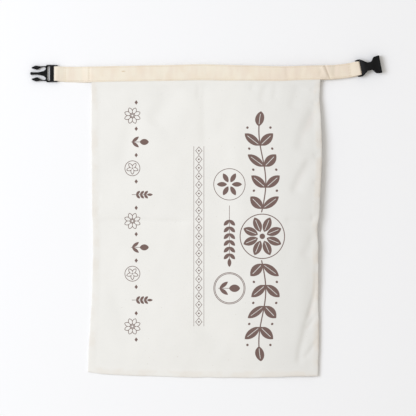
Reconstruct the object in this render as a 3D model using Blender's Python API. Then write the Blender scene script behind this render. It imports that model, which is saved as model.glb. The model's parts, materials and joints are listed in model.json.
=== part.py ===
"""A roll-top bread bag of light cotton cloth, lying empty and flat on its back panel.

Two sewn panels hang from one heading tape, which is looped round a bar of each half of a side-release
buckle. +Z is up, +X runs along the tape to the socket half, and +Y runs from the sewn bottom to the
mouth. The origin is on the underside of the back panel, under the middle of the bag. All sizes are in
metres.
"""

import math
from bisect import bisect_right
from collections import namedtuple

import bmesh
import bpy
from mathutils import Matrix, Vector

# Cloth and tape.
CLOTH = 0.0010  # thickness of a panel
TAPE = 0.0010  # thickness of the heading tape
GAP = 0.0003  # air between pieces that touch
SEAM = 0.0080  # width of the seam allowance, folded in behind the front panel
SEAM_RIDGE = 0.0004  # how much the allowance thickens the front panel's rim
RIDGE_WIDTH = 0.0096  # how far in from a seam it does so
MOUTH_INSET = 0.0015  # the panels' mouth edge below the tape's top edge
BAND_SLOPE = 0.0130  # length in which the panels come down from under the tape
PUFF = 0.0034  # room between the panels away from their seams
PUFF_REACH = (0.1300, 0.0500, 0.0600)  # how far in from left, bottom and tape it takes to open softly
PUFF_EDGE = 0.0240  # the same at the right, where it starts at a steep edge
CURL_REACH = 0.1500  # how far in from the right seam the cloth rises from the table
FOLD_FADE = 0.2  # share of a fold's length in which each of its ends fades out

# The buckle, a standard one for 20 mm tape. Windows are half as wide as the space between the arms.
BAR_ROOT = 0.0006  # how far each end of a bar reaches into its arm
PRONG_THICK = 0.0046
PRONG_EDGE = 0.00045  # radius of the moulding's edges
PRONG_BAR = 0.0010  # radius of the bar that the tape turns round
PRONG_BAR_BACK = 0.0127  # from the frame's front to that bar
PRONG_WINDOW = 0.0098
PRONG_FRONT = (-0.2101, 0.1931)  # middle of the frame's front
SOCKET_THICK = 0.0080
SOCKET_EDGE = 0.00055
SOCKET_BAR = 0.0013
SOCKET_BAR_BACK = 0.0288  # from the mouth to the bar
SOCKET_WINDOW = 0.0095
SOCKET_ROOM = (0.0205, 0.0190, 0.0052)  # depth, width and height inside
SOCKET_MOUTH = (0.2278, 0.20545)  # middle of the mouth
SOCKET_TURN = math.radians(11)  # this end of the tape is turned up
ARC_STEP = math.radians(24)

# What share of its full thickness a moulding keeps at places along x, in straight slopes between them.
# The prong half's guide and prongs rise apart from its thin frame.
FRAME_SHARES = ((-0.0112, 1.0), (-0.0092, 0.54), (-0.0034, 0.46), (0.0000, 0.46))
GUIDE_SHARES = (*FRAME_SHARES, (0.0070, 1.0))
PRONG_SHARES = (*FRAME_SHARES, (0.0034, 0.64), (0.0070, 0.64), (0.0098, 1.0))
PRONGS_OUT = 0.0050  # the prongs lie farther than this from the middle line
SHELL_SHARES = ((-0.0330, 0.55), (-0.0264, 0.72), (-0.0228, 0.86), (-0.0205, 1.0))

# The bag's outline from its bottom to its mouth, and how far its right seam stands off the table.
Side = namedtuple("Side", "y left right lift")
SIDES = (
    Side(-0.2045, -0.1554, 0.1458, 0.0018),
    Side(-0.1886, -0.1552, 0.1464, 0.0020),
    Side(-0.1480, -0.1528, 0.1472, 0.0024),
    Side(-0.1035, -0.1504, 0.1463, 0.0034),
    Side(-0.0380, -0.1489, 0.1463, 0.0060),
    Side(-0.0110, -0.1492, 0.1451, 0.0070),
    Side(0.0080, -0.1497, 0.1472, 0.0076),
    Side(0.0275, -0.1500, 0.1483, 0.0080),
    Side(0.0930, -0.1506, 0.1511, 0.0080),
    Side(0.1454, -0.1507, 0.1489, 0.0056),
    Side(0.1640, -0.1507, 0.1481, 0.0044),
    Side(0.1782, -0.1507, 0.1487, 0.0036),
    Side(0.2044, -0.1507, 0.1502, 0.0034),
)

Bottom = namedtuple("Bottom", "x y")
BOTTOM = (
    Bottom(-0.1554, -0.1978),
    Bottom(-0.1460, -0.1991),
    Bottom(-0.1130, -0.2017),
    Bottom(-0.0740, -0.2031),
    Bottom(0.0000, -0.2048),
    Bottom(0.0570, -0.2049),
    Bottom(0.0960, -0.2040),
    Bottom(0.1460, -0.2030),
)

# The tape's middle line and width, seen from above.
Band = namedtuple("Band", "x middle width")
BAND = (
    Band(-0.1974, 0.1931, 0.0190),
    Band(-0.1800, 0.1923, 0.0194),
    Band(-0.1526, 0.1920, 0.0203),
    Band(-0.1133, 0.1928, 0.0203),
    Band(-0.0740, 0.1934, 0.0204),
    Band(-0.0347, 0.1942, 0.0206),
    Band(-0.0085, 0.1948, 0.0208),
    Band(0.0177, 0.1943, 0.0206),
    Band(0.0570, 0.1937, 0.0197),
    Band(0.0963, 0.1929, 0.0191),
    Band(0.1225, 0.1937, 0.0186),
    Band(0.1421, 0.1942, 0.0186),
    Band(0.1618, 0.1948, 0.0182),
    Band(0.1814, 0.1967, 0.0182),
    Band(0.1995, 0.1999, 0.0182),
)

# Undersides of the tape's two runs past the bag's sides, where they are sewn together.
Tail = namedtuple("Tail", "x back front")
LEFT_TAIL = (
    Tail(-0.1974, 0.0000, 0.0036),
    Tail(-0.1945, 0.0000, 0.0035),
    Tail(-0.1865, 0.0000, 0.0013),
    Tail(-0.1640, 0.0000, 0.0013),
    Tail(-0.1520, 0.0000, 0.0039),
)
RIGHT_TAIL = (
    Tail(0.1495, 0.0035, 0.0074),
    Tail(0.1590, 0.0031, 0.0060),
    Tail(0.1660, 0.0022, 0.0042),
    Tail(0.1740, 0.0014, 0.0028),
    Tail(0.1870, 0.0009, 0.0023),
    Tail(0.1965, 0.0013, 0.0055),
    Tail(0.1995, 0.0014, 0.0056),
)
TAPE_STRIPS = 3  # facets across the tape
TURN_STEPS = 5  # facets round each bar, less one

# A stretch of the tape, and the length of its facets.
Stretch = namedtuple("Stretch", "start end step")
STRETCHES = (
    Stretch(LEFT_TAIL[0].x, LEFT_TAIL[-1].x, 0.0032),
    Stretch(LEFT_TAIL[-1].x, RIGHT_TAIL[0].x, 0.0150),
    Stretch(RIGHT_TAIL[0].x, 0.1670, 0.0016),
    Stretch(0.1670, RIGHT_TAIL[-1].x, 0.0032),
)

# Main folds: the height of a ridge, or the depth of a trough as less than 0, half its width, and the
# line that it follows.
Fold = namedtuple("Fold", "high wide line")
FOLDS = (
    Fold(-0.0011, 0.0045, ((-0.1510, 0.0000), (-0.0900, 0.0005), (-0.0100, -0.0010))),
    Fold(-0.0010, 0.0045, ((0.1000, 0.0020), (0.1460, -0.0010))),
    Fold(-0.0010, 0.0045, ((-0.0060, 0.1950), (-0.0070, 0.1400), (-0.0040, 0.0930))),
    Fold(-0.0012, 0.0130, ((-0.0480, 0.1800), (-0.0740, 0.1320))),
    Fold(-0.0022, 0.0070, ((0.1408, 0.1454), (0.1277, 0.1297), (0.1186, 0.1127), (0.1172, 0.0930))),
    Fold(-0.0015, 0.0060, ((0.1395, 0.0760), (0.1303, 0.0616), (0.1212, 0.0406))),
    Fold(0.0008, 0.0100, ((0.1240, -0.0700), (0.1120, -0.1300), (0.1020, -0.1850))),
    Fold(-0.0034, 0.0060, ((0.1450, -0.0537), (0.1376, -0.1035), (0.1258, -0.1480), (0.1186, -0.1913))),
    Fold(-0.0018, 0.0050, ((0.1454, -0.1493), (0.1343, -0.1651), (0.1238, -0.1795), (0.1192, -0.1926))),
    Fold(-0.0014, 0.0045, ((0.1461, -0.1179), (0.1343, -0.1310), (0.1277, -0.1430))),
)
TAIL_PINCH = Fold(-0.0014, 0.0020, ((0.1546, 0.2031), (0.1618, 0.1886)))

# Where the panels' cross lines fall, as shares of their width from the left seam, and of their height
# from the mouth. The back panel keeps some of the front panel's lines.
ACROSS = (
    *(0.0, 0.027, 0.060, 0.115, 0.170, 0.225, 0.280, 0.335, 0.390, 0.440),
    *(0.466, 0.476, 0.486, 0.496, 0.508, 0.560, 0.610, 0.660, 0.710, 0.755, 0.795),
    *(0.828, 0.846, 0.861, 0.876, 0.891, 0.906, 0.921, 0.936, 0.951, 0.973, 1.0),
)
DOWN = (
    *(0.0, 0.035, 0.046, 0.055, 0.067, 0.082, 0.105, 0.140, 0.180, 0.220, 0.260, 0.300),
    *(0.340, 0.380, 0.420, 0.455, 0.480, 0.492, 0.502, 0.512, 0.525, 0.550, 0.590),
    *(0.630, 0.670, 0.705, 0.735, 0.765, 0.795, 0.825, 0.855, 0.885, 0.912, 0.938),
    *(0.960, 0.979, 1.0),
)
BACK_ACROSS = (0.0, 0.170, 0.335, 0.508, 0.610, 0.660, 0.710, 0.755, 0.795, 0.846, 0.891, 0.936, 1.0)
BACK_DOWN = (0.0, 0.046, 0.067, 0.082, 0.140, 0.260, 0.380, 0.502, 0.630, 0.765, 0.885, 1.0)

Finish = namedtuple("Finish", "colour roughness")
CALICO = Finish((0.84, 0.83, 0.79), 0.85)
TWILL = Finish((0.86, 0.80, 0.68), 0.80)
ACETAL = Finish((0.012, 0.012, 0.013), 0.35)

# A corner of a moulding's outline, and the radius of its fillet.
Corner = namedtuple("Corner", "x y radius")


def ramp(share):
    """A soft step from 0 to 1 as share goes from 0 to 1."""
    t = min(max(share, 0.0), 1.0)
    return t * t * (3 - 2 * t)


def along(rows, place, column):
    """One column's value at a place, on a smooth curve that doesn't swing past the rows beside it."""
    places = [row[0] for row in rows]
    values = [getattr(row, column) for row in rows]
    if place <= places[0]:
        return values[0]
    if place >= places[-1]:
        return values[-1]

    def slope(i):
        before = max(i, 1)
        after = min(i, len(rows) - 2)
        into = (values[before] - values[before - 1]) / (places[before] - places[before - 1])
        out = (values[after + 1] - values[after]) / (places[after + 1] - places[after])
        return 2 * into * out / (into + out) if into * out > 0 else 0.0

    i = bisect_right(places, place) - 1
    span = places[i + 1] - places[i]
    t = (place - places[i]) / span
    bend = span * t * (1 - t) * (slope(i) * (1 - t) - slope(i + 1) * t)
    return values[i] + (values[i + 1] - values[i]) * ramp(t) + bend


def nearest(line, x, y):
    """Distance from a place to a line through points, and how far along the line its foot is, 0 to 1."""
    whole = sum(math.dist(a, b) for a, b in zip(line, line[1:]))
    best = (math.inf, 0.0)
    done = 0.0
    for (ax, ay), (bx, by) in zip(line, line[1:]):
        length = math.dist((ax, ay), (bx, by))
        share = ((x - ax) * (bx - ax) + (y - ay) * (by - ay)) / length**2
        share = min(max(share, 0.0), 1.0)
        off = math.dist((x, y), (ax + share * (bx - ax), ay + share * (by - ay)))
        best = min(best, (off, (done + share * length) / whole))
        done += length
    return best


def fold_height(fold, x, y):
    off, share = nearest(fold.line, x, y)
    ends = ramp(share / FOLD_FADE) * ramp((1 - share) / FOLD_FADE)
    return fold.high * math.exp(-((off / fold.wide) ** 2)) * ends


def band_low(x):
    """The tape's lower edge."""
    return along(BAND, x, "middle") - along(BAND, x, "width") / 2


def place_on_panel(across, down):
    """The place at these shares of the bag's width and height."""
    y = SIDES[-1].y + down * (SIDES[0].y - SIDES[-1].y)
    left = along(SIDES, y, "left")
    x = left + across * (along(SIDES, y, "right") - left)
    mouth = along(BAND, x, "middle") + along(BAND, x, "width") / 2 - MOUTH_INSET
    return x, mouth + down * (along(BOTTOM, x, "y") - mouth)


def in_from_rim(x, y):
    """Distances of a place from the left seam, the right seam, the bottom seam and the tape."""
    left = x - along(SIDES, y, "left")
    right = along(SIDES, y, "right") - x
    return left, right, y - along(BOTTOM, x, "y"), band_low(x) - y


def curl(x, y):
    """How far the cloth stands off the table at its right side."""
    return along(SIDES, y, "lift") * ramp((x - along(SIDES, y, "right") + CURL_REACH) / CURL_REACH)


def back_underside(x, y):
    """The back panel lies on the table, but for its right side and the strip that the tape backs."""
    under_tape = ramp((y - band_low(x) + BAND_SLOPE) / BAND_SLOPE)
    return curl(x, y) + under_tape * (TAPE + GAP)


def front_underside(x, y):
    """The front panel lies on the back panel, with the bag's slight fullness and the main folds."""
    left, right, bottom, below_tape = in_from_rim(x, y)
    soft_rims = zip((left, bottom, below_tape), PUFF_REACH)
    fullness = PUFF * math.prod(ramp(distance / reach) for distance, reach in soft_rims)
    fullness *= math.sin(min(max(right / PUFF_EDGE, 0.0), 1.0) * math.pi / 2)
    inside = min(max(min(left, right, bottom, below_tape) / SEAM, 0.0), 1.0)
    room = fullness + inside * sum(fold_height(fold, x, y) for fold in FOLDS)
    return back_underside(x, y) + CLOTH + GAP + max(room, 0.0)


def back_top(x, y):
    return back_underside(x, y) + CLOTH


def front_top(x, y):
    """The seam allowance behind the front panel shows as a low ridge along the three seams."""
    left, right, bottom, below_tape = in_from_rim(x, y)
    on_seam = min(left, right, bottom) < RIDGE_WIDTH and below_tape > BAND_SLOPE
    return front_underside(x, y) + CLOTH + (SEAM_RIDGE if on_seam else 0.0)


def material(name, finish):
    made = bpy.data.materials.new(name)
    made.use_nodes = True
    shader = made.node_tree.nodes["Principled BSDF"]
    shader.inputs["Base Color"].default_value = (*finish.colour, 1)
    shader.inputs["Roughness"].default_value = finish.roughness
    shader.inputs["Metallic"].default_value = 0.0
    made.diffuse_color = (*finish.colour, 1)
    return made


def add(name, mesh, surface):
    """Puts a mesh in the scene as one named piece, smooth but for its sharp edges."""
    mesh.materials.clear()
    mesh.materials.append(surface)
    mesh.shade_smooth()
    mesh.set_sharp_from_angle(angle=math.radians(40))
    piece = bpy.data.objects.new(name, mesh)
    bpy.context.scene.collection.objects.link(piece)
    return piece


def mesh_of(name, bm):
    mesh = bpy.data.meshes.new(name)
    bm.to_mesh(mesh)
    bm.free()
    return mesh


def sheet(name, upper, lower, surface, joined=False):
    """A closed sheet between two grids of points. In a joined one the last row meets the first."""
    bm = bmesh.new()
    top = [[bm.verts.new(point) for point in row] for row in upper]
    low = [[bm.verts.new(point) for point in row] for row in lower]
    columns = len(top[0])
    steps = range(len(top) if joined else len(top) - 1)
    for i in steps:
        k = (i + 1) % len(top)
        for j in range(columns - 1):
            bm.faces.new((top[i][j], top[k][j], top[k][j + 1], top[i][j + 1]))
            bm.faces.new((low[i][j], low[i][j + 1], low[k][j + 1], low[k][j]))
        bm.faces.new((top[i][0], low[i][0], low[k][0], top[k][0]))
        bm.faces.new((top[i][-1], top[k][-1], low[k][-1], low[i][-1]))
    if not joined:
        for j in range(columns - 1):
            bm.faces.new((top[0][j], top[0][j + 1], low[0][j + 1], low[0][j]))
            bm.faces.new((top[-1][j], low[-1][j], low[-1][j + 1], top[-1][j + 1]))
    bmesh.ops.recalc_face_normals(bm, faces=bm.faces)
    return add(name, mesh_of(name, bm), surface)


def panel(name, top, underside, across, down, surface):
    places = [[place_on_panel(s, t) for s in across] for t in down]
    upper = [[(x, y, top(x, y)) for x, y in row] for row in places]
    lower = [[(x, y, underside(x, y)) for x, y in row] for row in places]
    return sheet(name, upper, lower, surface)


def tape_places():
    """Places along the tape from bar to bar."""
    places = []
    for stretch in STRETCHES:
        length = stretch.end - stretch.start
        count = round(length / stretch.step)
        places += [stretch.start + length * i / count for i in range(count)]
    return places + [STRETCHES[-1].end]


def tape_undersides(x):
    """Height of the undersides of the tape's back run and front run."""
    for tail in (LEFT_TAIL, RIGHT_TAIL):
        if tail[0].x <= x <= tail[-1].x:
            return along(tail, x, "back"), along(tail, x, "front")
    back = curl(x, along(BAND, x, "middle"))
    return back, back + TAPE + 2 * CLOTH + 3 * GAP


def across_tape(x, offset, height):
    """Points across the tape: offset is along its run, and height is a function of the place."""
    turned = ramp((x - RIGHT_TAIL[0].x) / (RIGHT_TAIL[-1].x - RIGHT_TAIL[0].x))
    run = Vector((math.cos(turned * SOCKET_TURN), math.sin(turned * SOCKET_TURN), 0))
    side = Vector((-run.y, run.x, 0)) * along(BAND, x, "width")
    middle = Vector((x, along(BAND, x, "middle"), 0)) + run * offset
    points = [middle + side * (j / TAPE_STRIPS - 0.5) for j in range(TAPE_STRIPS + 1)]
    for point in points:
        point.z = height(point)
    return points


def turn(x, bar_height, bar, outwards):
    """Outer and inner faces of the tape's turn round a bar, from its front run to its back run."""
    faces = []
    for radius in (bar + GAP + TAPE, bar + GAP):
        rows = []
        for i in range(1, TURN_STEPS + 1):
            angle = math.pi * (0.5 - i / (TURN_STEPS + 1))
            height = bar_height + radius * math.sin(angle)
            offset = outwards * radius * math.cos(angle)
            rows.append(across_tape(x, offset, lambda point: height))
        faces.append(rows)
    return faces


def heading_tape(surface):
    """One closed loop: its front run, the turn in the socket half, its back run and the other turn."""
    front_outer, front_inner, back_outer, back_inner = [], [], [], []
    for x in tape_places():
        back, front = tape_undersides(x)

        def front_height(point):
            return front + fold_height(TAIL_PINCH, point.x, point.y)

        front_inner.append(across_tape(x, 0, front_height))
        front_outer.append(across_tape(x, 0, lambda point: front_height(point) + TAPE))
        back_inner.append(across_tape(x, 0, lambda point: back + TAPE))
        back_outer.append(across_tape(x, 0, lambda point: back))
    right_outer, right_inner = turn(RIGHT_TAIL[-1].x, SOCKET_THICK / 2, SOCKET_BAR, 1)
    left_outer, left_inner = turn(LEFT_TAIL[0].x, PRONG_THICK / 2, PRONG_BAR, -1)
    outer = front_outer + right_outer + back_outer[::-1] + left_outer[::-1]
    inner = front_inner + right_inner + back_inner[::-1] + left_inner[::-1]
    return sheet("heading_tape", outer, inner, surface, joined=True)


def rounded(corners):
    """An outline through corners, each with its fillet as an arc of short steps."""
    outline = []
    for i, (x, y, radius) in enumerate(corners):
        corner = Vector((x, y))
        before = (Vector(corners[i - 1][:2]) - corner).normalized()
        after = (Vector(corners[(i + 1) % len(corners)][:2]) - corner).normalized()
        half = before.angle(after) / 2
        middle = corner + (before + after).normalized() * radius / math.sin(half)
        start = corner + before * radius / math.tan(half) - middle
        end = corner + after * radius / math.tan(half) - middle
        steps = math.ceil((math.pi - 2 * half) / ARC_STEP)
        for step in range(steps + 1):
            spoke = start.copy()
            spoke.rotate(Matrix.Rotation(-start.angle_signed(end) * step / steps, 2))
            outline.append(middle + spoke)
    return outline


def plate(name, half_outline, hole, thick, edge):
    """A flat moulding with round edges, from half its outline, which is mirrored in the x axis."""
    curve = bpy.data.curves.new(name, "CURVE")
    curve.dimensions = "2D"
    curve.fill_mode = "BOTH"
    curve.extrude = thick / 2 - edge
    curve.bevel_depth = edge
    curve.bevel_resolution = 1
    curve.offset = -edge
    other_half = [Corner(x, -y, radius) for x, y, radius in reversed(half_outline)]
    for corners in ([*half_outline, *other_half], hole):
        if corners:
            outline = rounded(corners)
            spline = curve.splines.new("POLY")
            spline.use_cyclic_u = True
            spline.points.add(len(outline) - 1)
            for point, place in zip(spline.points, outline):
                point.co = (*place, 0, 1)
    flat = bpy.data.objects.new(name, curve)
    bpy.context.scene.collection.objects.link(flat)
    bpy.context.view_layer.update()
    mesh = bpy.data.meshes.new_from_object(flat)
    bpy.data.objects.remove(flat)
    bpy.data.curves.remove(curve)
    return mesh


def straight(rows, place):
    """The value at a place, in a straight line from each row to the next."""
    for (start, low), (end, high) in zip(rows, rows[1:]):
        if place <= end:
            return low + (high - low) * max(place - start, 0.0) / (end - start)
    return rows[-1][1]


def thin(mesh, shares, inner=0.0, outer=math.inf):
    """Makes a plate thinner between two distances from its middle line, with bends at the shares' rows."""
    bm = bmesh.new()
    bm.from_mesh(mesh)
    bmesh.ops.remove_doubles(bm, verts=bm.verts, dist=1e-6)
    bmesh.ops.recalc_face_normals(bm, faces=bm.faces)
    for x, _ in shares:
        whole = [*bm.verts, *bm.edges, *bm.faces]
        bmesh.ops.bisect_plane(bm, geom=whole, plane_co=(x, 0, 0), plane_no=(1, 0, 0))
    for vertex in bm.verts:
        if inner <= abs(vertex.co.y) < outer:
            vertex.co.z *= straight(shares, vertex.co.x)
    bm.to_mesh(mesh)
    bm.free()


def rod(name, radius, half_length):
    """A round bar along Y."""
    bm = bmesh.new()
    bmesh.ops.create_cone(
        bm, cap_ends=True, segments=12, radius1=radius, radius2=radius, depth=2 * half_length
    )
    bmesh.ops.rotate(bm, verts=bm.verts, matrix=Matrix.Rotation(math.pi / 2, 3, "X"))
    return mesh_of(name, bm)


def block(name, size):
    bm = bmesh.new()
    bmesh.ops.create_cube(bm, size=1)
    bmesh.ops.scale(bm, vec=size, verts=bm.verts)
    return mesh_of(name, bm)


def combine(piece, operation, shape, x):
    """Adds or cuts a shape that stands at x on the piece and isn't a piece itself."""
    other = bpy.data.objects.new(shape.name, shape)
    other.parent = piece
    other.location.x = x
    other.hide_render = True
    other.display_type = "WIRE"
    bpy.context.scene.collection.objects.link(other)
    boolean = piece.modifiers.new(shape.name, "BOOLEAN")
    boolean.operation = operation
    boolean.object = other


def prong_half(surface):
    """Frame, centre guide and two sprung prongs, with x from the frame's front along the guide."""
    guide = (
        Corner(0.0207, 0.0019, 0.0016),
        Corner(0.0180, 0.0019, 0.0006),
        Corner(0.0170, 0.0015, 0.0015),
        Corner(0.0105, 0.0016, 0.0120),
        Corner(0.0030, 0.0032, 0.0050),
        Corner(0.0004, 0.0056, 0.0014),
    )
    prong = (
        Corner(0.0004, 0.0088, 0.0020),
        Corner(0.0046, 0.0083, 0.0080),
        Corner(0.0082, 0.0070, 0.0040),
        Corner(0.0114, 0.0047, 0.0022),
        Corner(0.0202, 0.0073, 0.0008),
        Corner(0.0134, 0.0106, 0.0050),
        Corner(0.0084, 0.0094, 0.0060),
        Corner(0.0026, 0.0098, 0.0040),
        Corner(-0.0003, 0.0099, 0.0004),
        Corner(-0.0007, 0.0114, 0.0006),
    )
    arm = (
        Corner(-0.0112, 0.0112, 0.0080),
        Corner(-0.0150, 0.0110, 0.0005),
        Corner(-0.0150, 0.0099, 0.0005),
        Corner(-0.0120, 0.0099, 0.0030),
        Corner(-0.0098, PRONG_WINDOW, 0.0003),
    )
    slot = (
        Corner(-0.0017, 0.0096, 0.0024),
        Corner(-0.0050, 0.0096, 0.0006),
        Corner(-0.0050, -0.0096, 0.0006),
        Corner(-0.0017, -0.0096, 0.0024),
    )
    outline = (*guide, *prong, *arm)
    mesh = plate("prong_buckle_half", outline, slot, PRONG_THICK, PRONG_EDGE)
    thin(mesh, GUIDE_SHARES, outer=PRONGS_OUT)
    thin(mesh, PRONG_SHARES, inner=PRONGS_OUT)
    piece = add("prong_buckle_half", mesh, surface)
    bar = rod("prong_bar", PRONG_BAR, PRONG_WINDOW + BAR_ROOT)
    combine(piece, "UNION", bar, -PRONG_BAR_BACK)
    piece.location = (*PRONG_FRONT, PRONG_THICK / 2)
    piece.rotation_euler.z = math.pi


def socket_half(surface):
    """A waisted shell, open at its mouth and at both sides of its waist, with x out of the mouth."""
    shell = (
        Corner(0.0000, 0.0118, 0.0010),
        Corner(-0.0076, 0.0108, 0.0013),
        Corner(-0.0114, 0.0053, 0.0026),
        Corner(-0.0170, 0.0053, 0.0050),
        Corner(-0.0256, 0.0113, 0.0040),
        Corner(-0.0290, 0.0114, 0.0070),
        Corner(-0.0322, 0.0108, 0.0005),
        Corner(-0.0322, 0.0096, 0.0005),
        Corner(-0.0258, SOCKET_WINDOW, 0.0003),
    )
    mesh = plate("socket_buckle_half", shell, (), SOCKET_THICK, SOCKET_EDGE)
    thin(mesh, SHELL_SHARES)
    piece = add("socket_buckle_half", mesh, surface)
    depth, width, height = SOCKET_ROOM
    combine(piece, "DIFFERENCE", block("socket_room", (2 * depth, width, height)), 0)
    bar = rod("socket_bar", SOCKET_BAR, SOCKET_WINDOW + BAR_ROOT)
    combine(piece, "UNION", bar, -SOCKET_BAR_BACK)
    piece.location = (*SOCKET_MOUTH, SOCKET_THICK / 2)
    piece.rotation_euler.z = SOCKET_TURN


for old in list(bpy.data.objects):
    bpy.data.objects.remove(old)

calico = material("calico", CALICO)
twill = material("twill", TWILL)
acetal = material("acetal", ACETAL)
panel("back_panel", back_top, back_underside, BACK_ACROSS, BACK_DOWN, calico)
panel("front_panel", front_top, front_underside, ACROSS, DOWN, calico)
heading_tape(twill)
prong_half(acetal)
socket_half(acetal)
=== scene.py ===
"""A roll-top bread bag of waxed cotton, lying empty on a pale table and seen from straight above.

Sizes are in metres. Tables and outlines in millimetres are multiplied by MM. +Z is up, +X runs along
the heading tape to the socket half of its buckle, and +Y runs from the bag's sewn bottom to its mouth.
The sections follow the bag as it is put together.
"""

import json
import math
from collections import namedtuple
from functools import partial, partialmethod, reduce

import bmesh
import bpy
import numpy as np
from mathutils import Matrix, Vector

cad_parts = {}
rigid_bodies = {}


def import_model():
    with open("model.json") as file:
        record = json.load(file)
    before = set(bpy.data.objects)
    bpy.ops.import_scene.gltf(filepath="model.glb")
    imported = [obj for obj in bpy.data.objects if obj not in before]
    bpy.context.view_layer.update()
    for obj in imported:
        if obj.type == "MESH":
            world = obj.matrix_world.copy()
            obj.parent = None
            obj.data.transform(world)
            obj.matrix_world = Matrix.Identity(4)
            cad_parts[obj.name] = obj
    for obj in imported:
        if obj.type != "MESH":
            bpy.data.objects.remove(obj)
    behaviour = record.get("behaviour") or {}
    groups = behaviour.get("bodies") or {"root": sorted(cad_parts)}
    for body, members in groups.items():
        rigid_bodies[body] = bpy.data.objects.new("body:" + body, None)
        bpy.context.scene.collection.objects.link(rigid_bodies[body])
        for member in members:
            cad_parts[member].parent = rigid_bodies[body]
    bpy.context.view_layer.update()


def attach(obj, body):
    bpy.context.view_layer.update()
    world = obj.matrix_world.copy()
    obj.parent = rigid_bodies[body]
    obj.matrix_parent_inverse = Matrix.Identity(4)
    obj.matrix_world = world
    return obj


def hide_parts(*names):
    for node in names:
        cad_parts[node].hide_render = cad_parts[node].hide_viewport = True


for old in list(bpy.data.objects):
    bpy.data.objects.remove(old)
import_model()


# The table, the camera and the lamps
# A smooth pale table top. The camera looks straight down through a long lens. One large soft lamp
# stands at the upper left, and the rest of the light comes evenly from all round.

MM = 0.001
PICTURE = 416  # pixels on each side of the picture
PIXEL = 0.00131  # what one pixel spans on the cloth
ORIGIN_PIXEL = (206.5, 221.0)  # where the frame's origin is seen
LENS = 0.300
SENSOR = 0.036
LAMP_PLACE = Vector((-1.82, 0.36, 2.16))
LAMP_WIDTH = 1.90
LAMP_POWER = 46.8
LAMP_TINT = (0.93, 0.985, 1.10)
ALL_ROUND_LIGHT = 0.647
ALL_ROUND_TINT = (1.018, 0.985, 0.935)
TABLE = 4.0
TABLE_TONE = 0.90
TABLE_GAP = 0.1 * MM  # from the table top up to the bag


def placed(name, data):
    """A new object in the scene."""
    made = bpy.data.objects.new(name, data)
    bpy.context.scene.collection.objects.link(made)
    return made


camera = placed("camera", bpy.data.cameras.new("camera"))
camera.data.sensor_width = SENSOR / MM
camera.data.lens = LENS / MM
camera.location = (
    PIXEL * (PICTURE / 2 - ORIGIN_PIXEL[0]),
    PIXEL * (ORIGIN_PIXEL[1] - PICTURE / 2),
    PIXEL * PICTURE * LENS / SENSOR,
)
bpy.context.scene.camera = camera

lamp = placed("lamp", bpy.data.lights.new("lamp", "AREA"))
lamp.data.shape = "DISK"
lamp.data.size = LAMP_WIDTH
lamp.data.energy = LAMP_POWER
lamp.data.color = LAMP_TINT
lamp.location = LAMP_PLACE
lamp.rotation_euler = LAMP_PLACE.to_track_quat("Z", "Y").to_euler()

room = bpy.data.worlds.new("room")
room.use_nodes = True
room.node_tree.nodes["Background"].inputs["Color"].default_value = (*ALL_ROUND_TINT, 1)
room.node_tree.nodes["Background"].inputs["Strength"].default_value = ALL_ROUND_LIGHT
bpy.context.scene.world = room
bpy.context.scene.view_settings.view_transform = "Standard"

bpy.ops.mesh.primitive_plane_add(size=TABLE, location=(0, 0, -TABLE_GAP))
table = bpy.context.object
table.name = "table"
table_paint = bpy.data.materials.new("table_paint")
table_paint.use_nodes = True
paint = table_paint.node_tree.nodes["Principled BSDF"]
paint.inputs["Base Color"].default_value = (TABLE_TONE, TABLE_TONE, TABLE_TONE, 1)
paint.inputs["Roughness"].default_value = 0.9
paint.inputs["Specular IOR Level"].default_value = 0.1
table.data.materials.append(table_paint)


# The two cotton panels
# Front and back are cut from one light plain-weave cotton, dipped in wax, and sewn together inside out
# along both sides and the bottom. Turned out, their allowances lie behind the front panel.

PANEL = (0.300, 0.406)  # width and length of a sewn panel
CLOTH = 0.0005  # thickness of the cotton
STACK = 0.0023  # height of the flat bag where it is sewn
SEAM = 0.0080  # width of the allowances
SEAM_RIDGE = 0.0003
RIDGE_PAST = 0.0030  # how far past an allowance its ridge reaches
RIDGE_SLOPE = 0.0050
RIM = 0.0015  # how far in the rolled edge of a seam reaches
RIM_DROP = 0.0008  # how far each panel turns in there, to meet the other
MOUTH_INSET = 0.0015  # the panels' mouth below the top edge of the tape
BAND_SLOPE = 0.0130  # length in which the panels rise to the tape
BAND_LIFT = 0.0013
FULLNESS = 0.0029  # air between the panels
FULLNESS_REACH = (0.1300, 0.0500, 0.0600)  # how far in from left, bottom and tape it opens softly
FULL_EDGE = 0.0300  # the same at the right, where it opens at once
CURL_REACH = 0.1500  # how far in from the right seam the bag rises from the table
CLOSEST = 0.0009  # how far a trough may sink towards the back panel where the bag is flat
LEAST_ROOM = 0.0005  # what a deep trough leaves of that
WAVES = 0.00022  # height of the cloth's shallow waves
LONG_WAVES, SHORT_WAVES = (0.070, 3), (0.026, 8)  # length, and seed of their places
PUCKER = 0.00024  # how far the stitching draws the seams in
SIDE_PUCKERS, BOTTOM_PUCKERS = (0.021, 5), (0.024, 6)

# From the bottom to the mouth: place, left seam, right seam, and how high the right seam stands.
SEAMS = MM * np.array([
    (-204.5, -155.4, 145.8, 1.8), (-188.6, -155.2, 146.4, 2), (-148, -152.8, 147.2, 2.4),
    (-103.5, -150.4, 146.3, 3.4), (-38, -148.9, 146.3, 6), (-11, -149.2, 145.1, 7),
    (8, -149.7, 147.2, 7.6), (27.5, -150, 148.3, 8), (93, -150.6, 151.1, 8),
    (145.4, -150.7, 148.9, 5.6), (164, -150.7, 148.1, 4.4), (178.2, -150.7, 148.7, 3.6),
    (204.4, -150.7, 150.2, 3.4),
])
# Along the bottom seam: place, seam.
BOTTOM = MM * np.array([
    (-155.4, -197.8), (-146, -199.1), (-113, -201.7), (-74, -203.1), (0, -204.8), (57, -204.9),
    (96, -204), (146, -203),
])
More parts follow.
